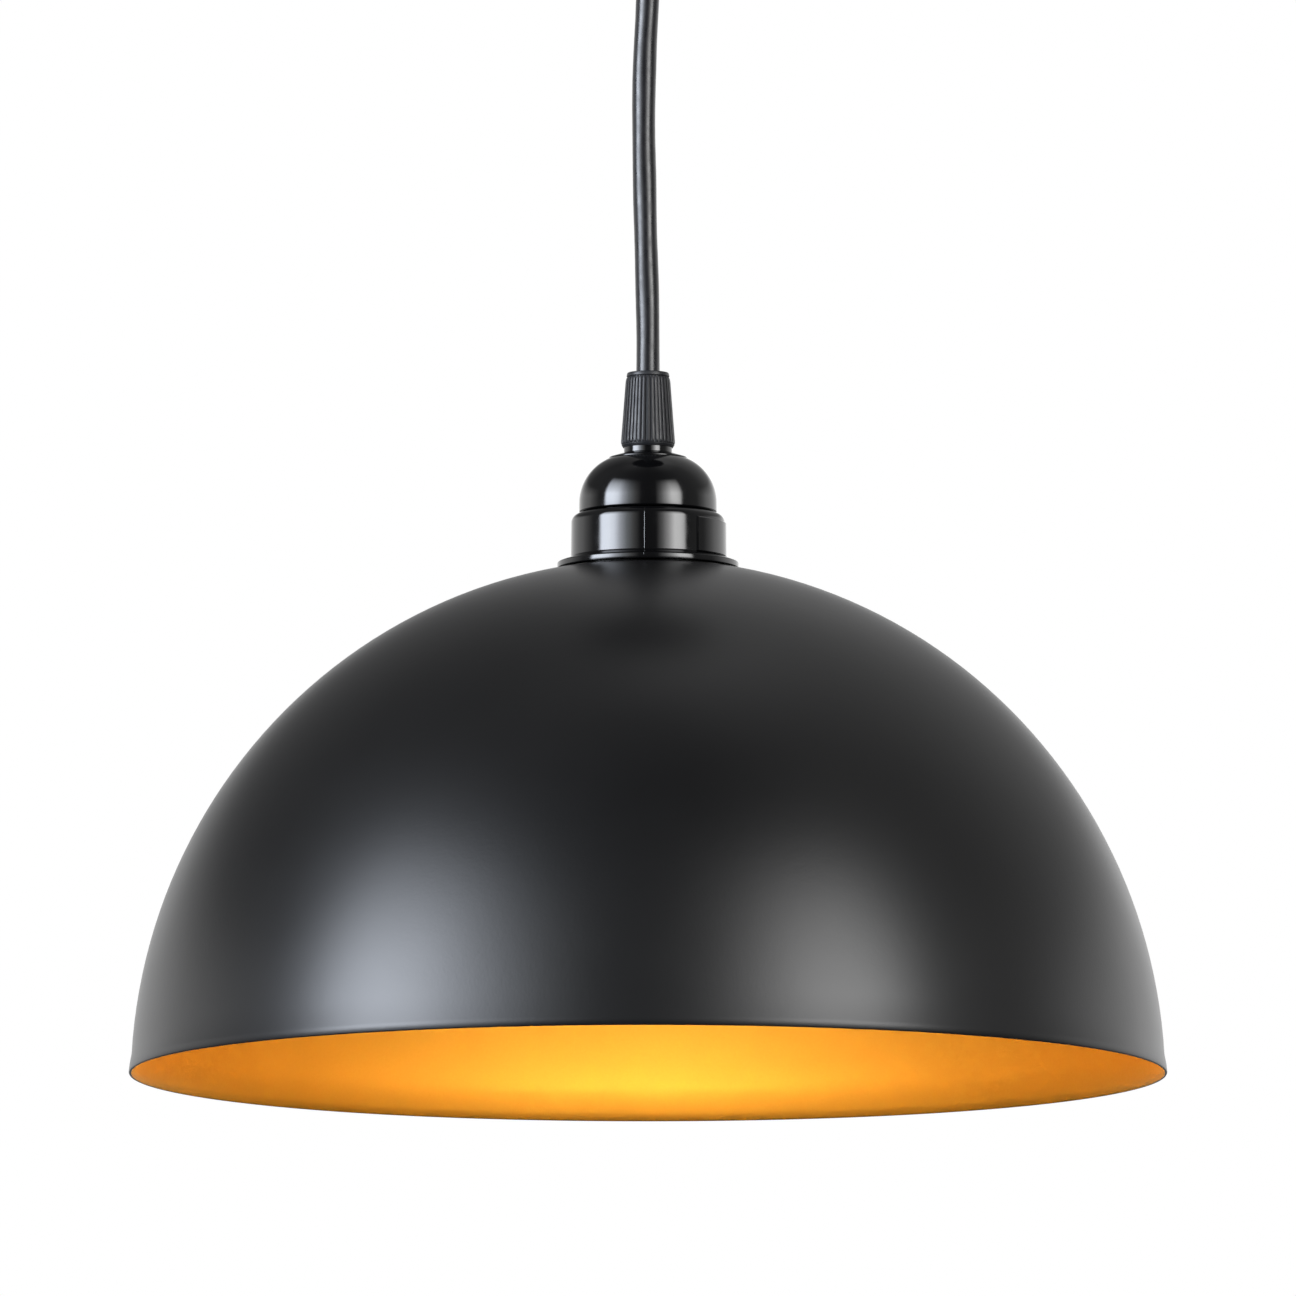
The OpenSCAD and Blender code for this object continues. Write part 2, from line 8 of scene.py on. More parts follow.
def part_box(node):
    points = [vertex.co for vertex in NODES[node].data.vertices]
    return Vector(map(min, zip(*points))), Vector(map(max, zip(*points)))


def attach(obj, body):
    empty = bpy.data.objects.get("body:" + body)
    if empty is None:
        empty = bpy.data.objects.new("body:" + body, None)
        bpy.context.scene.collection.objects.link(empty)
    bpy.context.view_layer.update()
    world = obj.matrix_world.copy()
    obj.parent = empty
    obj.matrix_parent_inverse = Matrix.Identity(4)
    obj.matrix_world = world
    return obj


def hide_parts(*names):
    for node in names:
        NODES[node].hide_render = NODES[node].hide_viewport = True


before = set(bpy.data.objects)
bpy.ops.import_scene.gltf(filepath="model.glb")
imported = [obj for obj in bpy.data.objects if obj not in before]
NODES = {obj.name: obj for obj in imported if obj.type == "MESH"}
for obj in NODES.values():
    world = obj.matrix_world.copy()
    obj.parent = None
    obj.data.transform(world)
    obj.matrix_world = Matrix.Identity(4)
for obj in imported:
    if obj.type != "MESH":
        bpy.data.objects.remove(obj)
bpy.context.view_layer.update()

# Lengths below are in millimetres, and MM turns them to Blender's metres. Heights called h are
# measured up from the plane of the shade's rim.
MM = 0.001
RIM_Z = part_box("shade")[0].z / MM


# ---------------------------------------------------------------- camera

VIEW_DISTANCE = 5.0
VIEW_ELEVATION = math.radians(-6.75)
VIEW_WIDTH = 375.5
AIM = Vector((0, 0, RIM_Z + 124.1)) * MM
SENSOR = 36.0


def make_camera():
    """A long lens a little below the lamp, looking up into the rim."""
    data = bpy.data.cameras.new("camera")
    data.sensor_width = SENSOR
    data.lens = SENSOR * VIEW_DISTANCE / (VIEW_WIDTH * MM)
    data.clip_end = 60.0
    camera = bpy.data.objects.new("camera", data)
    back = Vector((0, -math.cos(VIEW_ELEVATION), math.sin(VIEW_ELEVATION)))
    camera.location = AIM + back * VIEW_DISTANCE
    camera.rotation_mode = "QUATERNION"
    camera.rotation_quaternion = (-back).to_track_quat("-Z", "Y")
    bpy.context.scene.collection.objects.link(camera)
    bpy.context.scene.camera = camera


make_camera()


# ---------------------------------------------------------------- small tools

# Edges whose faces turn by less than this many degrees are shaded smooth.
SMOOTH_UNDER = 32.0


def linear(code):
    """An sRGB hex colour as linear RGBA."""
    parts = [int(code[i:i + 2], 16) / 255 for i in (1, 3, 5)]
    return (*[c / 12.92 if c <= 0.04045 else ((c + 0.055) / 1.055) ** 2.4 for c in parts], 1.0)


def node(tree, kind, inputs=None, **settings):
    """Adds a node, sets its properties, and sets or links its inputs by name or number."""
    made = tree.nodes.new(kind)
    for name, value in settings.items():
        setattr(made, name, value)
    for key, value in (inputs or {}).items():
        if isinstance(value, bpy.types.NodeSocket):
            tree.links.new(value, made.inputs[key])
        else:
            made.inputs[key].default_value = value
    return made


def finished(name, mesh, materials, sharp=SMOOTH_UNDER):
    """An object from a mesh: smooth, with edges kept sharp past an angle, and its materials."""
    for material in materials:
        mesh.materials.append(material)
    mesh.shade_smooth()
    mesh.set_sharp_from_angle(angle=math.radians(sharp))
    made = bpy.data.objects.new(name, mesh)
    bpy.context.scene.collection.objects.link(made)
    return made


def joined(name, parts, sharp=SMOOTH_UNDER):
    """One object from several, keeping each face's own material."""
    bm = bmesh.new()
    materials = []
    for part in parts:
        start = len(bm.faces)
        bm.from_mesh(part.data)
        bm.faces.ensure_lookup_table()
        slots = []
        for material in part.data.materials:
            if material not in materials:
                materials.append(material)
            slots.append(materials.index(material))
        for face in bm.faces[start:]:
            face.material_index = slots[face.material_index] if slots else 0
        old = part.data
        bpy.data.objects.remove(part)
        bpy.data.meshes.remove(old)
    mesh = bpy.data.meshes.new(name)
    bm.to_mesh(mesh)
    bm.free()
    return finished(name, mesh, materials, sharp)


def rounded(points, steps=4):
    """A profile whose corners (r, h, fillet) are turned to arcs where the fillet isn't zero."""
    out = []
    count = len(points)
    for i, (r, h, fillet) in enumerate(points):
        here = Vector((r, h))
        if not fillet:
            out.append((r, h))
            continue
        before = (Vector(points[i - 1][:2]) - here).normalized()
        after = (Vector(points[(i + 1) % count][:2]) - here).normalized()
        half = before.angle(after) / 2
        reach = fillet / math.tan(half)
        centre = here + (before + after).normalized() * fillet / math.sin(half)
        first = here + before * reach - centre
        turn = first.angle_signed(here + after * reach - centre)
        for k in range(steps + 1):
            out.append(tuple(centre + Matrix.Rotation(-turn * k / steps, 2) @ first))
    return out


def arc(centre_r, centre_h, radius, start, end, steps):
    """Points of a profile on an arc, by angle in degrees up from the outward direction."""
    turns = [math.radians(start + (end - start) * k / steps) for k in range(steps + 1)]
    return [(centre_r + radius * math.cos(a), centre_h + radius * math.sin(a)) for a in turns]


def lathe(
    name, profile, materials, segments,
    base=RIM_Z, closed=True, sharp=SMOOTH_UNDER, shape=None, pick=None,
):
    """Turns a profile of (r, h) round the Z axis. shape may move a point (r, angle, h) outwards,
    and pick gives a face's material from its step along the profile."""
    bm = bmesh.new()
    rings = []
    for r, h in profile:
        if r < 1e-6:
            rings.append([bm.verts.new((0, 0, (base + h) * MM))] * segments)
            continue
        ring = []
        for k in range(segments):
            a = math.tau * k / segments
            out = r + (shape(r, a, h) if shape else 0.0)
            x, y = out * math.cos(a), out * math.sin(a)
            ring.append(bm.verts.new((x * MM, y * MM, (base + h) * MM)))
        rings.append(ring)
    count = len(rings)
    for i in range(count if closed else count - 1):
        low, high = rings[i], rings[(i + 1) % count]
        for k in range(segments):
            k2 = (k + 1) % segments
            corners = list(dict.fromkeys([low[k], low[k2], high[k2], high[k]]))
            if len(corners) > 2:
                face = bm.faces.new(corners)
                face.material_index = pick(i) if pick else 0
    bmesh.ops.recalc_face_normals(bm, faces=bm.faces)
    mesh = bpy.data.meshes.new(name)
    bm.to_mesh(mesh)
    bm.free()
    return finished(name, mesh, materials, sharp)


# ---------------------------------------------------------------- geometry nodes

def new_group(name, inputs):
    """A geometry node group with its named inputs, and its input and output nodes."""
    group = bpy.data.node_groups.new(name, "GeometryNodeTree")
    group.interface.new_socket("Geometry", in_out="INPUT", socket_type="NodeSocketGeometry")
    for label, kind, value in inputs:
        socket = group.interface.new_socket(label, in_out="INPUT", socket_type=kind)
        if value is not None:
            socket.default_value = value
    group.interface.new_socket("Geometry", in_out="OUTPUT", socket_type="NodeSocketGeometry")
    return group, group.nodes.new("NodeGroupInput"), group.nodes.new("NodeGroupOutput")


def ring_of_copies():
    """Copies the piece's own mesh round the Z axis."""
    group, given, made = new_group("ring of copies", [
        ("Count", "NodeSocketInt", 12),
        ("Material", "NodeSocketMaterial", None),
    ])
    points = node(group, "GeometryNodePoints", {"Count": given.outputs["Count"]})
    index = node(group, "GeometryNodeInputIndex")
    step = node(group, "ShaderNodeMath", {
        0: math.tau,
        1: given.outputs["Count"],
    }, operation="DIVIDE")
    angle = node(group, "ShaderNodeMath", {
        0: index.outputs[0],
        1: step.outputs[0],
    }, operation="MULTIPLY")
    turn = node(group, "ShaderNodeCombineXYZ", {"Z": angle.outputs[0]})
    copies = node(group, "GeometryNodeInstanceOnPoints", {
        "Points": points.outputs[0],
        "Instance": given.outputs["Geometry"],
        "Rotation": turn.outputs[0],
    })
    real = node(group, "GeometryNodeRealizeInstances", {"Geometry": copies.outputs[0]})
    coated = node(group, "GeometryNodeSetMaterial", {
        "Geometry": real.outputs[0],
        "Material": given.outputs["Material"],
    })
    group.links.new(coated.outputs[0], made.inputs[0])
    return group


def helical_thread():
    """A screw thread: a small profile swept along a spiral."""
    group, given, made = new_group("helical thread", [
        ("Radius", "NodeSocketFloat", 0.01),
        ("Crest", "NodeSocketFloat", 0.0005),
        ("Pitch", "NodeSocketFloat", 0.002),
        ("Turns", "NodeSocketFloat", 5.0),
        ("Base", "NodeSocketFloat", 0.0),
        ("Material", "NodeSocketMaterial", None),
    ])
    rise = node(group, "ShaderNodeMath", {
        0: given.outputs["Pitch"],
        1: given.outputs["Turns"],
    }, operation="MULTIPLY")
    spiral = node(group, "GeometryNodeCurveSpiral", {
        "Resolution": 64,
        "Rotations": given.outputs["Turns"],
        "Start Radius": given.outputs["Radius"],
        "End Radius": given.outputs["Radius"],
        "Height": rise.outputs[0],
        "Reverse": True,
    })
    lift = node(group, "ShaderNodeCombineXYZ", {"Z": given.outputs["Base"]})
    placed = node(group, "GeometryNodeTransform", {
        "Geometry": spiral.outputs[0],
        "Translation": lift.outputs[0],
    })
    section = node(group, "GeometryNodeCurvePrimitiveCircle", {
        "Resolution": 8,
        "Radius": given.outputs["Crest"],
    })
    swept = node(group, "GeometryNodeCurveToMesh", {
        "Curve": placed.outputs[0],
        "Profile Curve": section.outputs["Curve"],
        "Fill Caps": True,
    })
    real = node(group, "GeometryNodeRealizeInstances", {"Geometry": swept.outputs[0]})
    coated = node(group, "GeometryNodeSetMaterial", {
        "Geometry": real.outputs[0],
        "Material": given.outputs["Material"],
    })
    group.links.new(coated.outputs[0], made.inputs[0])
    return group


RING_OF_COPIES = ring_of_copies()
HELICAL_THREAD = helical_thread()


def grown(name, group, values, seed_mesh=None):
    """Runs a node group on an object and gives back the plain mesh it makes, as a new object."""
    mesh = seed_mesh or bpy.data.meshes.new(name + " seed")
    source = bpy.data.objects.new(name + " source", mesh)
    bpy.context.scene.collection.objects.link(source)
    modifier = source.modifiers.new("grow", "NODES")
    modifier.node_group = group
    sockets = {
        item.name: item.identifier
        for item in group.interface.items_tree
        if item.item_type == "SOCKET" and item.in_out == "INPUT"
    }
    for label, value in values.items():
        modifier[sockets[label]] = value
    bpy.context.view_layer.update()
    graph = bpy.context.evaluated_depsgraph_get()
    plain = bpy.data.meshes.new_from_object(source.evaluated_get(graph), depsgraph=graph)
    bpy.data.objects.remove(source)
    plain.name = name
    plain.shade_smooth()
    plain.set_sharp_from_angle(angle=math.radians(SMOOTH_UNDER))
    made = bpy.data.objects.new(name, plain)
    bpy.context.scene.collection.objects.link(made)
    return made


# ---------------------------------------------------------------- materials

# How strongly the lit globe shines, against the studio's white of 1.
GLOBE_GLOW = 58.0


def new_material(name, base, rough, metallic=0.0):
    """A material with its Principled shader, and the tree and shader to build on."""
    material = bpy.data.materials.new(name)
    material.use_nodes = True
    tree = material.node_tree
    shader = next(n for n in tree.nodes if n.type == "BSDF_PRINCIPLED")
    shader.inputs["Base Color"].default_value = linear(base)
    shader.inputs["Roughness"].default_value = rough
    shader.inputs["Metallic"].default_value = metallic
    shader.inputs["IOR"].default_value = 1.5
    material.diffuse_color = linear(base)
    return material, tree, shader


def noise(tree, grain_mm, detail=2.0, rough=0.5, stretch=None):
    """Noise on object coordinates with grains of grain_mm, stretched by a factor for each axis."""
    place = node(tree, "ShaderNodeTexCoord").outputs["Object"]
    if stretch:
        place = node(tree, "ShaderNodeMapping", {"Vector": place, "Scale": stretch}).outputs[0]
    return node(tree, "ShaderNodeTexNoise", {
        "Vector": place,
        "Scale": 1 / (grain_mm * MM),
        "Detail": detail,
        "Roughness": rough,
    }).outputs["Fac"]


def spread(tree, value, low, high):
    """A 0 to 1 value spread between two others."""
    return node(tree, "ShaderNodeMapRange", {
        "Value": value,
        "From Min": 0.3,
        "From Max": 0.7,
        "To Min": low,
        "To Max": high,
    }).outputs[0]


def tinted(tree, value, dark, light):
    """A colour between two, by a 0 to 1 value."""
    ends = {0: value, 6: linear(dark), 7: linear(light)}
    return node(tree, "ShaderNodeMix", ends, data_type="RGBA").outputs[2]


def bumped(tree, shader, height, depth_mm, under=None):
    """Gives the shader a bump whose full height is depth_mm."""
    inputs = {"Height": height, "Distance": depth_mm * MM, "Strength": 1.0}
    if under:
        inputs["Normal"] = under
    bump = node(tree, "ShaderNodeBump", inputs)
    tree.links.new(bump.outputs[0], shader.inputs["Normal"])
    return bump.outputs[0]


def black_powder_coat():
    """Steel with a satin black powder coat: broad soft highlights and a faint orange-peel grain.
    Real grain is about 0.4 mm and is drawn at 0.9 mm so that it shows."""
    material, tree, shader = new_material("black_powder_coat", "#060607", 0.34)
    grain = noise(tree, 0.9, 2.0)
    cloud = noise(tree, 45, 2.0)
    tree.links.new(spread(tree, cloud, 0.325, 0.355), shader.inputs["Roughness"])
    tree.links.new(tinted(tree, cloud, "#050506", "#070708"), shader.inputs["Base Color"])
    peel = bumped(tree, shader, noise(tree, 4.0, 1.0), 0.010)
    bumped(tree, shader, grain, 0.012, under=peel)
    return material


def gold_lacquer():
    """Satin gold lacquer over steel: metal flake gives it a warm, broad glow and a fine sparkle.
    Flakes are about 0.05 mm and are drawn at 0.8 mm so that they show."""
    material, tree, shader = new_material("gold_lacquer", "#E0A83C", 0.45, metallic=1.0)
    flake = noise(tree, 0.8, 3.0, rough=0.7)
    cloud = noise(tree, 30, 2.0)
    tree.links.new(tinted(tree, cloud, "#DCA43A", "#E4AC3F"), shader.inputs["Base Color"])
    tree.links.new(spread(tree, flake, 0.40, 0.52), shader.inputs["Roughness"])
    bumped(tree, shader, flake, 0.015)
    return material


def black_phenolic():
    """Compression-moulded black phenolic: a deep gloss, very slightly wavy from the mould."""
    material, tree, shader = new_material("black_phenolic", "#070708", 0.1)
    wave = bumped(tree, shader, noise(tree, 9, 1.0), 0.02)
    bumped(tree, shader, noise(tree, 1.6, 3.0), 0.0022, under=wave)
    tree.links.new(spread(tree, noise(tree, 5, 3.0), 0.07, 0.14), shader.inputs["Roughness"])
    return material


def black_nylon():
    """Injection-moulded black nylon: satin, with the mould's fine spark-eroded grain.
    Real grain is about 0.1 mm and is drawn at 0.35 mm so that it shows."""
    material, tree, shader = new_material("black_nylon", "#1D1E21", 0.42)
    tree.links.new(spread(tree, noise(tree, 2.5, 3.0), 0.36, 0.48), shader.inputs["Roughness"])
    bumped(tree, shader, noise(tree, 0.35, 2.0), 0.006)
    return material


def black_pvc_sheath():
    """Extruded PVC flex sheath: semi-gloss, with faint draw lines along its length."""
    material, tree, shader = new_material("black_pvc_sheath", "#17171A", 0.3)
    drawn = noise(tree, 0.9, 3.0, stretch=(1, 1, 0.08))
    blotch = noise(tree, 3.5, 3.0)
    tree.links.new(spread(tree, blotch, 0.24, 0.36), shader.inputs["Roughness"])
    soft = bumped(tree, shader, blotch, 0.02)
    bumped(tree, shader, drawn, 0.004, under=soft)
    return material


def coloured_pvc(name, dark, light):
    """Extruded PVC core insulation: smooth and semi-gloss."""
    material, tree, shader = new_material(name, light, 0.35)
    mottle = noise(tree, 1.5, 2.0)
    tree.links.new(tinted(tree, mottle, dark, light), shader.inputs["Base Color"])
    bumped(tree, shader, mottle, 0.005)
    return material


def zinc_plated_steel():
    """Bright zinc plate on pressed steel: satin metal, faint rolling lines and a bluish cast."""
    material, tree, shader = new_material("zinc_plated_steel", "#C3C6CB", 0.34, metallic=1.0)
    rolled = noise(tree, 0.6, 3.0, rough=0.6, stretch=(0.06, 1, 1))
    cloud = noise(tree, 6, 3.0)
    tree.links.new(tinted(tree, cloud, "#B4B8BF", "#CFD1D4"), shader.inputs["Base Color"])
    tree.links.new(spread(tree, rolled, 0.26, 0.42), shader.inputs["Roughness"])
    bumped(tree, shader, rolled, 0.004)
    return material


def brass():
    """Pressed and turned brass, a little dulled: warm metal with uneven tarnish."""
    material, tree, shader = new_material("brass", "#D2A756", 0.3, metallic=1.0)
    tarnish = noise(tree, 2.5, 4.0)
    tree.links.new(tinted(tree, tarnish, "#B98C40", "#DDB668"), shader.inputs["Base Color"])
    tree.links.new(spread(tree, tarnish, 0.38, 0.24), shader.inputs["Roughness"])
    bumped(tree, shader, noise(tree, 0.5, 2.0), 0.003)
    return material


def nickel_plate():
    """Nickel-plated bulb cap: a smooth pressed metal with light handling marks."""
    material, tree, shader = new_material("nickel_plate", "#C9C6BF", 0.24, metallic=1.0)
    marks = noise(tree, 1.8, 4.0)
    tree.links.new(spread(tree, marks, 0.18, 0.34), shader.inputs["Roughness"])
    tree.links.new(tinted(tree, marks, "#BDB9B1", "#D3D1CB"), shader.inputs["Base Color"])
    bumped(tree, shader, marks, 0.004)
    return material


def white_ceramic():
    """Glazed white steatite: smooth and glossy, with a faint unevenness in the glaze."""
    material, tree, shader = new_material("white_ceramic", "#E9E6DD", 0.22)
    glaze = noise(tree, 3, 2.0)
    tree.links.new(tinted(tree, glaze, "#E4E0D5", "#EEECE5"), shader.inputs["Base Color"])
    bumped(tree, shader, glaze, 0.01)
    return material


def white_polycarbonate(name, base):
    """Moulded white polycarbonate: an even satin gloss."""
    material, tree, shader = new_material(name, base, 0.3)
    shader.inputs["Subsurface Weight"].default_value = 0.05
    shader.inputs["Subsurface Radius"].default_value = (0.002, 0.002, 0.002)
    tree.links.new(spread(tree, noise(tree, 4, 2.0), 0.26, 0.34), shader.inputs["Roughness"])
    bumped(tree, shader, noise(tree, 0.5, 2.0), 0.003)
    return material


def lit_opal_globe():
    """Opal diffuser with the lamp on: milky plastic that glows warm white."""
    material, tree, shader = new_material("lit_opal_globe", "#F6EFE0", 0.28)
    shader.inputs["Emission Color"].default_value = linear("#FFF0D8")
    shader.inputs["Emission Strength"].default_value = GLOBE_GLOW
    bumped(tree, shader, noise(tree, 0.6, 2.0), 0.003)
    return material


def black_glass():
    """Pressed black glass in the bulb's cap: deep gloss."""
    material, tree, shader = new_material("black_glass", "#050506", 0.06)
    bumped(tree, shader, noise(tree, 3, 1.0), 0.01)
    return material


def black_rubber():
    """Moulded black rubber: matt, with a dusty grey bloom."""
    material, tree, shader = new_material("black_rubber", "#141414", 0.75)
    bloom = noise(tree, 1.2, 3.0)
    tree.links.new(tinted(tree, bloom, "#101010", "#1D1D1D"), shader.inputs["Base Color"])
    bumped(tree, shader, bloom, 0.01)
    return material


def circuit_laminate():
    """White solder mask over aluminium and glass laminate: smooth, with fine woven relief."""
    material, tree, shader = new_material("circuit_laminate", "#DDE3DC", 0.4)
    weave = noise(tree, 0.8, 2.0)
    tree.links.new(tinted(tree, weave, "#D3DAD2", "#E5EAE4"), shader.inputs["Base Color"])
    bumped(tree, shader, weave, 0.006)
    return material


SHADE_OUTSIDE = black_powder_coat()
SHADE_INSIDE = gold_lacquer()
PHENOLIC = black_phenolic()
NYLON = black_nylon()
SHEATH = black_pvc_sheath()
BROWN = coloured_pvc("brown_pvc_core", "#4A2814", "#5E3520")
BLUE = coloured_pvc("blue_pvc_core", "#1F4F9E", "#2B62BA")
ZINC = zinc_plated_steel()
BRASS = brass()
NICKEL = nickel_plate()
CERAMIC = white_ceramic()
HOUSING = white_polycarbonate("white_polycarbonate", "#EDEDEA")
BLOCK_NYLON = white_polycarbonate("natural_nylon", "#E2DFD2")
OPAL = lit_opal_globe()
GLASS_BLACK = black_glass()
RUBBER = black_rubber()
LAMINATE = circuit_laminate()


# ---------------------------------------------------------------- flex

FLEX_R = 3.4
PIVOT_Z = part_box("flex")[1].z / MM
GRIP_TIP_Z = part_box("grip_cap")[1].z / MM
# The same route as the CAD flex, from the gland's pivot to the top of the cord grip.
FLEX_ROUTE = [
    (0, 0, PIVOT_Z), (0, 0, -52), (-0.3, 0, -60), (-0.7, 0, -68), (-1, 0, -76),
    (-1.2, 0, -84), (-1.25, 0, -92), (-1.15, 0, -100), (-1, 0, -108), (-0.9, 0, -116),
    (-0.7, 0, -124), (-0.45, 0, -132), (-0.25, 0, -140), (-0.1, 0, -148), (0, 0, -156),
    (0, 0, GRIP_TIP_Z),
]
# The twisted cores show through the sheath as an oval that turns once in each lay length.
CORE_LAY = 62.0
CORE_PRESS = 0.05
# The rubber seal squeezes the first few millimetres of the sheath.
SEAL_REACH = 6.0
SEAL_SQUEEZE = 0.15


def smooth_route(points, per_span):
    """Catmull-Rom points through a route, with per_span steps between each two."""
    path = [Vector(p) for p in points]
    out = []
    for i in range(len(path) - 1):
        before, here = path[max(i - 1, 0)], path[i]
        ahead, beyond = path[i + 1], path[min(i + 2, len(path) - 1)]
        for k in range(per_span):
            t = k / per_span
            out.append(0.5 * (
                2 * here + (ahead - before) * t
                + (2 * before - 5 * here + 4 * ahead - beyond) * t * t
                + (3 * here - before - 3 * ahead + beyond) * t ** 3
            ))
    out.append(path[-1])
    return out


def round_cord(name, path, radius, material, sides):
    """A cord swept along a path, pressed by its cores to a slight oval that turns once in each
    lay length, and squeezed by the seal where it starts."""
    bm = bmesh.new()
    rings = []
    travelled = 0.0
    for i, here in enumerate(path):
        if i:
            travelled += (here - path[i - 1]).length
        ahead = (path[min(i + 1, len(path) - 1)] - path[max(i - 1, 0)]).normalized()
        across = Vector((0, 1, 0)).cross(ahead).normalized()
        up = ahead.cross(across)
        loose = min(1.0, travelled / SEAL_REACH)
        ring = []
        for k in range(sides):
            a = math.tau * k / sides
            oval = CORE_PRESS * loose * math.cos(2 * (a - math.tau * travelled / CORE_LAY))
            r = radius - SEAL_SQUEEZE * (1 - loose) + oval
            point = here + across * (r * math.cos(a)) + up * (r * math.sin(a))
            ring.append(bm.verts.new(point * MM))
        rings.append(ring)
    for low, high in zip(rings, rings[1:]):
        for k in range(sides):
            bm.faces.new((low[k], low[(k + 1) % sides], high[(k + 1) % sides], high[k]))
    bm.faces.new(rings[0])
    bm.faces.new(rings[-1])
    bmesh.ops.recalc_face_normals(bm, faces=bm.faces)
    mesh = bpy.data.meshes.new(name)
    bm.to_mesh(mesh)
    bm.free()
    return finished(name, mesh, [material], sharp=50)


def make_flex():
    """The flex that hangs from the gland."""
    path = smooth_route(FLEX_ROUTE, per_span=4)
    flex = round_cord("hanging_flex", path, FLEX_R, SHEATH, sides=40)
    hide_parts("flex")
    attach(flex, "cord")


make_flex()


# ---------------------------------------------------------------- shade

WALL = 0.9
DOME_WIDE = 149.4
DOME_TALL = 152.0
DOME_SINK = 3.0
SEAT_H = 146.6
HOLE_R = 20.25
FLARE_R = 150.0
FLARE_H = 4.5


def dome_curve(inset, top, steps):
    """Points down the dome's elliptical skin, from its flat seat to the start of the flare."""
    wide, tall = DOME_WIDE - inset, DOME_TALL - inset
    first = math.asin((top + DOME_SINK) / tall)
    last = math.asin((FLARE_H + 1 + DOME_SINK) / tall)
    turns = [first + (last - first) * k / steps for k in range(steps + 1)]
    return [(wide * math.cos(a), tall * math.sin(a) - DOME_SINK) for a in turns]


def make_shade():
    """Spun dome with a flat seat, a faint flare at the rim, and an edge rounded by the coat."""
    steps = 44
    outer = dome_curve(0, SEAT_H, steps)
    inner = dome_curve(WALL, SEAT_H - WALL, steps)
    edge_r = outer[0][0]
    seat = [(HOLE_R, SEAT_H), (edge_r - 1.2, SEAT_H), (edge_r - 0.45, SEAT_H - 0.08)]
    flare = [
        (FLARE_R - 0.28, 2.6), (FLARE_R - 0.02, 0.35),
        (FLARE_R - 0.16, 0.06), (FLARE_R - 0.42, 0),
    ]
    hem = [(FLARE_R - 0.72, 0.05), (FLARE_R - 0.9, 0.4), (FLARE_R - WALL - 0.28, 2.6)]
    outside = seat + outer[1:] + flare
    profile = outside + hem + inner[::-1] + [(HOLE_R, SEAT_H - WALL)]

    def side(step):
        return 0 if step < len(outside) or step == len(profile) - 1 else 1

    shade = lathe("dome_shade", profile, [SHADE_OUTSIDE, SHADE_INSIDE], 192, sharp=50, pick=side)
    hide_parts("shade")
    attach(shade, "shade")


# ---------------------------------------------------------------- lamp holder

BODY_R = 22.3
FLANGE_R = 26.35
# The parting line is in front, a little to the left.
SEAM_ANGLE = math.radians(270) - 0.045


def ridge(name, line, angle, width, height, material):
    """A fine raised seam that follows a profile at one angle round the axis. Its sides are sunk
    a little into the skin."""
    sunk = -0.03
    bm = bmesh.new()
    rows = []
    for r, h in line:
        row = []
        for side, out in ((-1, sunk), (0, height), (1, sunk)):
            a = angle + side * width / 2 / r
            x, y = (r + out) * math.cos(a), (r + out) * math.sin(a)
            row.append(bm.verts.new((x * MM, y * MM, (RIM_Z + h) * MM)))
        rows.append(row)
    for low, high in zip(rows, rows[1:]):
        for k in (0, 1):
            bm.faces.new((low[k], low[k + 1], high[k + 1], high[k]))
    mesh = bpy.data.meshes.new(name)
    bm.to_mesh(mesh)
    bm.free()
    return finished(name, mesh, [material], sharp=180)


def make_holder_shell():
    """Moulded body with its flange and threaded skirt, a parting line in front, and a side
    panel that stands a little proud."""
    panel_half = math.radians(50.5)
    panel_low, panel_high = 150.5, 160.4
    panel_proud, inside_r = 0.45, 21

    def panel(r, angle, h):
        turn = (angle + math.pi) % math.tau - math.pi
        on = abs(turn) <= panel_half and panel_low < h < panel_high and r > inside_r
        return panel_proud if on else 0.0

    side = [
        (FLANGE_R, 147.2, 0.2), (FLANGE_R, 148.85, 0.3), (25.6, 149.2, 0.2), (23.3, 150.0, 0.4),
        (22.45, 150.4, 0.1), (22.4, 150.5, 0), (22.4, 150.6, 0), (BODY_R, 160.2, 0),
        *[(r, h, 0) for r, h in arc(BODY_R - 2.5, 160.6, 2.5, 0, 84, 10)],
    ]
    profile = rounded([
        (17.2, 124, 0.3), (18.9, 124, 0.4), (19.2, 125.2, 0), (19.2, SEAT_H + 0.05, 0),
        (24, SEAT_H + 0.05, 0.15), (24, 147.2, 0.1), *side,
        (18.4, 163.2, 0.2), (18.4, 150, 0), (17.2, 150, 0),
    ])
    body = lathe("shell body", profile, [PHENOLIC], 288, shape=panel)
    thread = grown("shell thread", HELICAL_THREAD, {
        "Radius": 19.3 * MM, "Crest": 0.45 * MM, "Pitch": 2.5 * MM, "Turns": 7.6,
        "Base": (RIM_Z + 125.8) * MM, "Material": PHENOLIC,
    })
    line = [(r + 0.01, h) for r, h in rounded(side)[2:-2]]
    seam = ridge("shell seam", line, SEAM_ANGLE, width=0.22, height=0.04, material=PHENOLIC)
    shell = joined("holder_body", [body, thread, seam])
    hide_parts("holder_shell")
    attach(shell, "lamp")


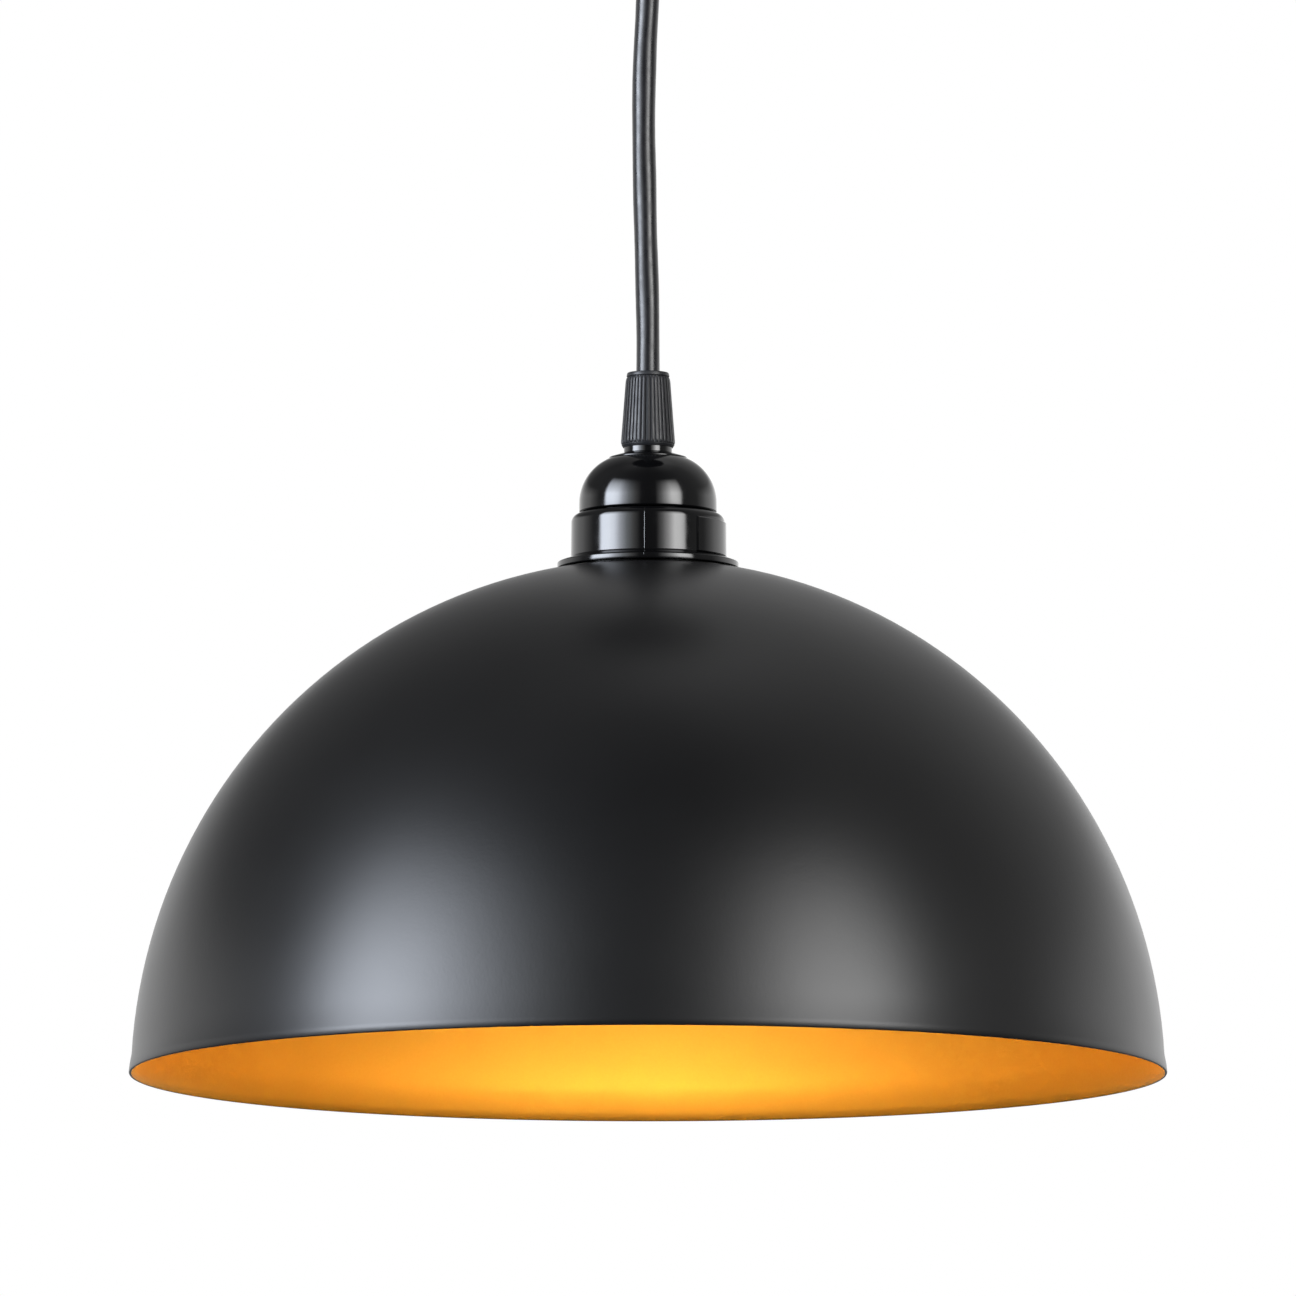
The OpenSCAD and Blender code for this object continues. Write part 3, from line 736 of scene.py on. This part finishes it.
def make_holder_cap():
    """Domed cap screwed into the body, with a low cone under the cord grip."""
    dome = arc(6, 166.4, 14, 0, 66, 18)
    profile = rounded([
        (16.2, 153, 0.2), (18.2, 153, 0.3), (18.2, 163.3, 0), (19.7, 163.4, 0.3), (20, 163.8, 0.2),
        *[(r, h, 0) for r, h in dome],
        (11.4, 179.3, 0), (11.35, 179.65, 0.15), (7.8, 180.8, 0.5), (7.3, 181, 0.1),
        (5.0, 181, 0.2), (5.0, 177.4, 0), (9, 177.2, 1.5), (16.2, 168, 5),
    ], steps=3)
    cap = lathe("holder_dome_cap", profile, [PHENOLIC], 144)
    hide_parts("holder_cap")
    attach(cap, "lamp")


def make_shade_ring():
    """Threaded ring under the shade: a flange above twelve finger lugs."""
    low, high = 138.7, 145.7
    lug_r, lug_l, lug_out, lug_up = 1.6, 4.5, 22.4, 2.85
    profile = rounded([
        (20.2, low, 0.2), (22.6, low, 0.4), (23, low + 0.6, 0.1), (23, high - 2, 0.3),
        (25.9, high - 2.1, 0.4), (26, high, 0.3), (20.2, high, 0.2),
    ])
    body = lathe("ring body", profile, [PHENOLIC], 144)
    lug = bmesh.new()
    bmesh.ops.create_cone(
        lug, cap_ends=True, segments=24, radius1=lug_r * MM, radius2=lug_r * MM, depth=lug_l * MM,
    )
    foot = [e for e in lug.edges if all(v.co.z < -0.49 * lug_l * MM for v in e.verts)]
    bmesh.ops.bevel(lug, geom=foot, offset=0.4 * MM, segments=3, affect="EDGES")
    bmesh.ops.translate(lug, verts=lug.verts, vec=(lug_out * MM, 0, (RIM_Z + low + lug_up) * MM))
    seed = bpy.data.meshes.new("ring lug")
    lug.to_mesh(seed)
    lug.free()
    lugs = grown("ring lugs", RING_OF_COPIES, {"Count": 12, "Material": PHENOLIC}, seed)
    thread = grown("ring thread", HELICAL_THREAD, {
        "Radius": 20.25 * MM, "Crest": 0.4 * MM, "Pitch": 2.5 * MM, "Turns": 2.2,
        "Base": (RIM_Z + 139.4) * MM, "Material": PHENOLIC,
    })
    ring = joined("shade_screw_ring", [body, lugs, thread])
    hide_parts("shade_ring")
    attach(ring, "ring")


make_shade()
make_holder_shell()
make_holder_cap()
make_shade_ring()


# ---------------------------------------------------------------- cord grips

GRIP_L = 22.0
GRIP_RIBS = 36
GRIP_WIDE_R = 7.9
GRIP_NARROW_R = 6.4
RIB_DEPTH = 0.42
GRIP_BASE_Z = GRIP_TIP_Z - GRIP_L
GLAND_BASE_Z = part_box("gland_cap")[1].z / MM


def rib_seed():
    """One tapered rib, standing at the radius of the grip on +X, rounded over at its top."""
    low, high = 1.05, 20.6
    fill = 0.74
    bm = bmesh.new()
    rows = []
    # How full the rib is at each fraction of its height, and its section as (side, height).
    steps = [
        (0.0, 0.45), (0.02, 0.9), (0.05, 1), (0.5, 1),
        (0.93, 1), (0.965, 0.86), (0.985, 0.62), (1.0, 0.2),
    ]
    across = [
        (-1, -0.35), (-0.98, 0.45), (-0.8, 0.86), (-0.45, 1),
        (0.45, 1), (0.8, 0.86), (0.98, 0.45), (1, -0.35),
    ]
    for t, full in steps:
        outside = GRIP_WIDE_R + (GRIP_NARROW_R - GRIP_WIDE_R) * t
        half = math.pi * outside / GRIP_RIBS * fill
        z = low + (high - low) * t
        rows.append([
            bm.verts.new(((outside - RIB_DEPTH + RIB_DEPTH * v * full) * MM, half * u * MM, z * MM))
            for u, v in across
        ])
    for a, b in zip(rows, rows[1:]):
        for k in range(len(across) - 1):
            bm.faces.new((a[k], a[k + 1], b[k + 1], b[k]))
    bm.faces.new(rows[0][::-1])
    bm.faces.new(rows[-1])
    bmesh.ops.recalc_face_normals(bm, faces=bm.faces)
    mesh = bpy.data.meshes.new("rib")
    bm.to_mesh(mesh)
    bm.free()
    return mesh


def make_grip(name, throat_r, mouth_r, place, stands_for, body):
    """Ribbed compression cap: a lip at its wide end, fine ribs all round, and a plain crown."""
    root = GRIP_WIDE_R - RIB_DEPTH
    tip = GRIP_NARROW_R - RIB_DEPTH
    profile = rounded([
        (5.9, 0, 0.2), (7.15, 0, 0.25), (7.72, 0.85, 0.15), (root, 1.0, 0.1), (tip, 20.6, 0.2),
        (tip + 0.25, 20.9, 0.2), (tip + 0.05, GRIP_L, 0.4), (mouth_r, GRIP_L, 0.4),
        (throat_r, 15.5, 0), (5.9, 12, 0),
    ])
    core = lathe(name + " core", profile, [NYLON], 144, base=0)
    copies = {"Count": GRIP_RIBS, "Material": NYLON}
    ribs = grown(name + " ribs", RING_OF_COPIES, copies, rib_seed())
    grip = joined(name, [core, ribs], sharp=40)
    grip.data.transform(place)
    if place.determinant() < 0:
        grip.data.flip_normals()
    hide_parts(stands_for)
    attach(grip, body)


UPSIDE_DOWN = Matrix.Rotation(math.pi, 4, "X")
GRIP_PLACE = Matrix.Translation((0, 0, GRIP_BASE_Z * MM))
GLAND_PLACE = Matrix.Translation((0, 0, GLAND_BASE_Z * MM)) @ UPSIDE_DOWN
make_grip(
    "cord_grip", throat_r=4.2, mouth_r=3.6,
    place=GRIP_PLACE, stands_for="grip_cap", body="lamp",
)
make_grip(
    "canopy_gland", throat_r=4.9, mouth_r=5.2,
    place=GLAND_PLACE, stands_for="gland_cap", body="mount",
)


# ---------------------------------------------------------------- canopy

CANOPY_R = 50.0
CANOPY_H = 28.0
SIDE_SCREW_Z = -9.0


def make_canopy():
    """Drawn steel cup with a rounded floor, open to the ceiling."""
    profile = rounded([
        (5.1, -CANOPY_H, 0.2), (CANOPY_R, -CANOPY_H, 6), (CANOPY_R, 0, 0.3), (CANOPY_R - 1, 0, 0.3),
        (CANOPY_R - 1, 1 - CANOPY_H, 5), (5.1, 1 - CANOPY_H, 0.2),
    ], steps=10)
    canopy = lathe("ceiling_canopy", profile, [SHADE_OUTSIDE], 160, base=0)
    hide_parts("canopy")
    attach(canopy, "mount")


def make_canopy_screws():
    """Two knurled thumb screws that hold the canopy to the legs of the bracket."""
    shank_l, head_h = 7.0, 3.0
    length = head_h + shank_l
    tooth, tooth_out = 0.42, 3.28
    profile = rounded([
        (0, 0, 0), (3.0, 0, 0.3), (3.3, 0.25, 0.1), (3.3, head_h - 0.25, 0.1), (3.0, head_h, 0.3),
        (1.5, head_h, 0), (1.5, length - 0.5, 0), (1.1, length, 0), (0, length, 0),
    ], steps=3)
    knurl = bmesh.new()
    bmesh.ops.create_cube(knurl, size=1.0)
    bmesh.ops.scale(knurl, verts=knurl.verts, vec=(tooth * MM, tooth * MM, (head_h - 0.7) * MM))
    bmesh.ops.rotate(knurl, verts=knurl.verts, matrix=Matrix.Rotation(math.radians(45), 3, "Z"))
    bmesh.ops.translate(knurl, verts=knurl.verts, vec=(tooth_out * MM, 0, head_h / 2 * MM))
    seed = bpy.data.meshes.new("knurl tooth")
    knurl.to_mesh(seed)
    knurl.free()
    screws = []
    for side in (1, -1):
        core = lathe("screw core", profile, [ZINC], 48, base=0, closed=False)
        teeth = grown("screw knurl", RING_OF_COPIES, {"Count": 32, "Material": ZINC}, seed.copy())
        screw = joined("screw", [core, teeth])
        inwards = Matrix.Rotation(math.radians(-90 * side), 4, "Y")
        place = Matrix.Translation((side * (CANOPY_R + head_h + 0.05) * MM, 0, SIDE_SCREW_Z * MM))
        screw.data.transform(place @ inwards)
        screws.append(screw)
    both = joined("canopy_thumb_screws", screws)
    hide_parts("canopy_screws")
    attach(both, "mount")


make_canopy()
make_canopy_screws()


# ---------------------------------------------------------------- bulb

# Height where the housing ends and the screw cap begins.
CAP_LOW = 131.5


def make_bulb_globe():
    """Opal globe, cut where it meets the housing."""
    radius, wall, centre, cut = 30.0, 1.2, 81.5, 98.0

    def skin(r, steps):
        return arc(0, centre, r, -90, math.degrees(math.asin((cut - centre) / r)), steps)

    outer, inner = skin(radius, 32), skin(radius - wall, 28)
    globe = lathe("opal_globe", outer + inner[::-1], [OPAL], 128, sharp=60)
    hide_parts("bulb_globe")
    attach(globe, "bulb")


def make_bulb_housing():
    """White trumpet between the globe and the screw cap."""
    top, length, wall, steps = CAP_LOW, 33.5, 1.5, 20
    neck_r, spread_r, curl = 14, 11.2, 1.8
    outer = [
        (neck_r + spread_r * (k / steps) ** curl, top - length * k / steps)
        for k in range(steps + 1)
    ]
    inner = [(r - wall, h) for r, h in outer]
    collar = [(12.3, top), (11.4, top + 0.6), (11.4, top + 12), (10, top + 12), (10, top)]
    housing = lathe("bulb_trumpet", outer + inner[::-1] + collar[::-1], [HOUSING], 128)
    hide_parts("bulb_housing")
    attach(housing, "bulb")


def make_bulb_cap():
    """E27 screw cap: a rolled thread on thin plated brass."""
    low, high = CAP_LOW, 152.5
    profile = rounded([
        (12.2, low, 0), (12.95, low, 0.2), (12.6, low + 1.6, 0.3), (12.4, low + 2, 0),
        (12.4, high - 0.6, 0.4), (8.6, high, 0.1), (8.6, high - 0.35, 0), (11.9, high - 0.8, 0.2),
    ])
    shell = lathe("cap shell", profile, [NICKEL], 128)
    thread = grown("cap thread", HELICAL_THREAD, {
        "Radius": 12.42 * MM, "Crest": 0.7 * MM, "Pitch": 3.629 * MM, "Turns": 4.5,
        "Base": (RIM_Z + low + 2.6) * MM, "Material": NICKEL,
    })
    cap = joined("bulb_screw_cap", [shell, thread], sharp=40)
    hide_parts("bulb_cap")
    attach(cap, "bulb")


make_bulb_globe()
make_bulb_housing()
make_bulb_cap()


# ---------------------------------------------------------------- finishes of the CAD pieces

FINISHES = {
    "ceiling_bracket": ZINC,
    "earth_screw": BRASS,
    "terminal_block": BLOCK_NYLON,
    "terminal_barrels": BRASS,
    "terminal_screws": ZINC,
    "gland_body": NYLON,
    "gland_nut": ZINC,
    "gland_collet": NYLON,
    "flex_tail": SHEATH,
    "tail_live": BROWN,
    "tail_neutral": BLUE,
    "gland_seal": RUBBER,
    "grip_collet": NYLON,
    "grip_body": PHENOLIC,
    "grip_nut": ZINC,
    "flex_end": SHEATH,
    "core_live": BROWN,
    "core_neutral": BLUE,
    "holder_insert": CERAMIC,
    "holder_terminals": BRASS,
    "holder_terminal_screws": ZINC,
    "contact_rivets": BRASS,
    "centre_contact": BRASS,
    "screw_shell": BRASS,
    "bulb_contact": NICKEL,
    "bulb_insulator": GLASS_BLACK,
    "led_board": LAMINATE,
    "driver_board": LAMINATE,
}
for name, material in FINISHES.items():
    for held in NODES[name].material_slots:
        held.material = material


# ---------------------------------------------------------------- studio

# How strongly the softboxes shine, against the studio's white of 1.
SOFTBOX = 20.0


def ramp(tree, factor, stops):
    """A colour ramp from (position, level or colour) stops."""
    made = tree.nodes.new("ShaderNodeValToRGB")
    tree.links.new(factor, made.inputs[0])
    elements = made.color_ramp.elements
    while len(elements) < len(stops):
        elements.new(1.0)
    for element, (place, level) in zip(elements, stops):
        element.position = place
        element.color = (*level, 1) if isinstance(level, tuple) else (level, level, level, 1)
    return made.outputs[0]


def make_world():
    """A white studio with a tall softbox on each side. The camera sees plain white."""
    world = bpy.data.worlds.new("studio")
    bpy.context.scene.world = world
    world.use_nodes = True
    tree = world.node_tree
    tree.nodes.clear()
    look = node(tree, "ShaderNodeTexCoord").outputs["Generated"]
    split = node(tree, "ShaderNodeSeparateXYZ", {0: look}).outputs
    flipped = {0: split["Y"], 1: -1.0}
    towards = node(tree, "ShaderNodeMath", flipped, operation="MULTIPLY").outputs[0]
    turn = node(tree, "ShaderNodeMath", {0: split["X"], 1: towards}, operation="ARCTAN2").outputs[0]
    azimuth = node(tree, "ShaderNodeMapRange", {
        "Value": turn, "From Min": -math.pi, "From Max": math.pi,
    }).outputs[0]
    rise = node(tree, "ShaderNodeMath", {0: split["Z"]}, operation="ARCSINE").outputs[0]
    height = node(tree, "ShaderNodeMapRange", {
        "Value": rise, "From Min": -math.pi / 2, "From Max": math.pi / 2,
    }).outputs[0]

    def background(colour, strength):
        inputs = {"Color": colour, "Strength": strength}
        return node(tree, "ShaderNodeBackground", inputs).outputs[0]

    def lights(around, upwards, strength):
        across = ramp(tree, azimuth, [(a / 360 + 0.5, level) for a, level in around])
        up = ramp(tree, height, [(e / 180 + 0.5, level) for e, level in upwards])
        inputs = {0: 1.0, 6: across, 7: up}
        both = node(tree, "ShaderNodeMix", inputs, data_type="RGBA", blend_type="MULTIPLY")
        return background(both.outputs[2], strength)

    total = lights(AROUND, UPWARDS, 1.0)
    for around, upwards, strength in (
        (BACKDROP_AROUND, BACKDROP_UP, 1.0),
        (BOXES_ACROSS, BOXES_UP, SOFTBOX),
    ):
        added = {0: total, 1: lights(around, upwards, strength)}
        total = node(tree, "ShaderNodeAddShader", added).outputs[0]
    plain = background((1, 1, 1, 1), 1.0)
    seen = node(tree, "ShaderNodeLightPath").outputs["Is Camera Ray"]
    mixed = node(tree, "ShaderNodeMixShader", {0: seen, 1: total, 2: plain}).outputs[0]
    node(tree, "ShaderNodeOutputWorld", {"Surface": mixed})


# Levels, grey or coloured, against the angle from the camera's side in degrees, +X positive.
AROUND = [
    (-180, 0.55), (-165, 0.25), (-125, 0.15), (-100, 0.2), (-75, 0.2), (-30, 0.1), (0, 0.07),
    (30, 0.1), (75, 0.25), (105, 0.3), (125, 0.42), (155, 0.45), (180, 0.55),
]
BACKDROP_AROUND = [(-180, 1.0), (-115, 1.0), (-90, 0.0), (90, 0.0), (115, 1.0), (180, 1.0)]
BOXES_ACROSS = [
    (-79, 0.0), (-74, (0.8, 0.86, 0.97)), (-61, (0.84, 0.9, 1.0)), (-52, (0.72, 0.77, 0.86)),
    (-42, (0.33, 0.35, 0.39)), (-32, (0.13, 0.14, 0.15)), (-22, 0.05), (-12, 0.0), (13, 0.0),
    (22, 0.09), (31, 0.28), (41, 0.6), (50, 0.56), (56, 0.42), (60, 0.0),
]
# Levels against the height over the horizon in degrees.
UPWARDS = [(-90, 0.12), (-8, 0.15), (4, 1.0), (60, 1.0), (75, 1.6), (90, 2.4)]
BACKDROP_UP = [(-30, 0.0), (-6, 0.15), (0, 0.9), (11, 0.9), (22, 0.0)]
BOXES_UP = [(-2, 0.0), (3, 0.95), (12, 1.0), (20, 0.72), (32, 0.4), (44, 0.0)]


def make_floor():
    """A plain pale floor far below the lamp. Only the camera sees it, so it casts no light up.
    Its drop and reach are in metres."""
    drop, reach = 6.0, 60.0
    bm = bmesh.new()
    bmesh.ops.create_grid(bm, x_segments=1, y_segments=1, size=reach)
    mesh = bpy.data.meshes.new("floor")
    bm.to_mesh(mesh)
    bm.free()
    mesh.transform(Matrix.Translation((0, 0, -drop)))
    material, tree, shader = new_material("pale_floor_paint", "#F1F1F0", 0.8)
    paint = tinted(tree, noise(tree, 900, 2.0), "#EFEFEE", "#F4F4F3")
    tree.links.new(paint, shader.inputs["Base Color"])
    floor = finished("floor", mesh, [material])
    floor.visible_glossy = False
    floor.visible_diffuse = False
    floor.visible_transmission = False


make_world()
make_floor()
bpy.context.scene.view_settings.view_transform = "Standard"
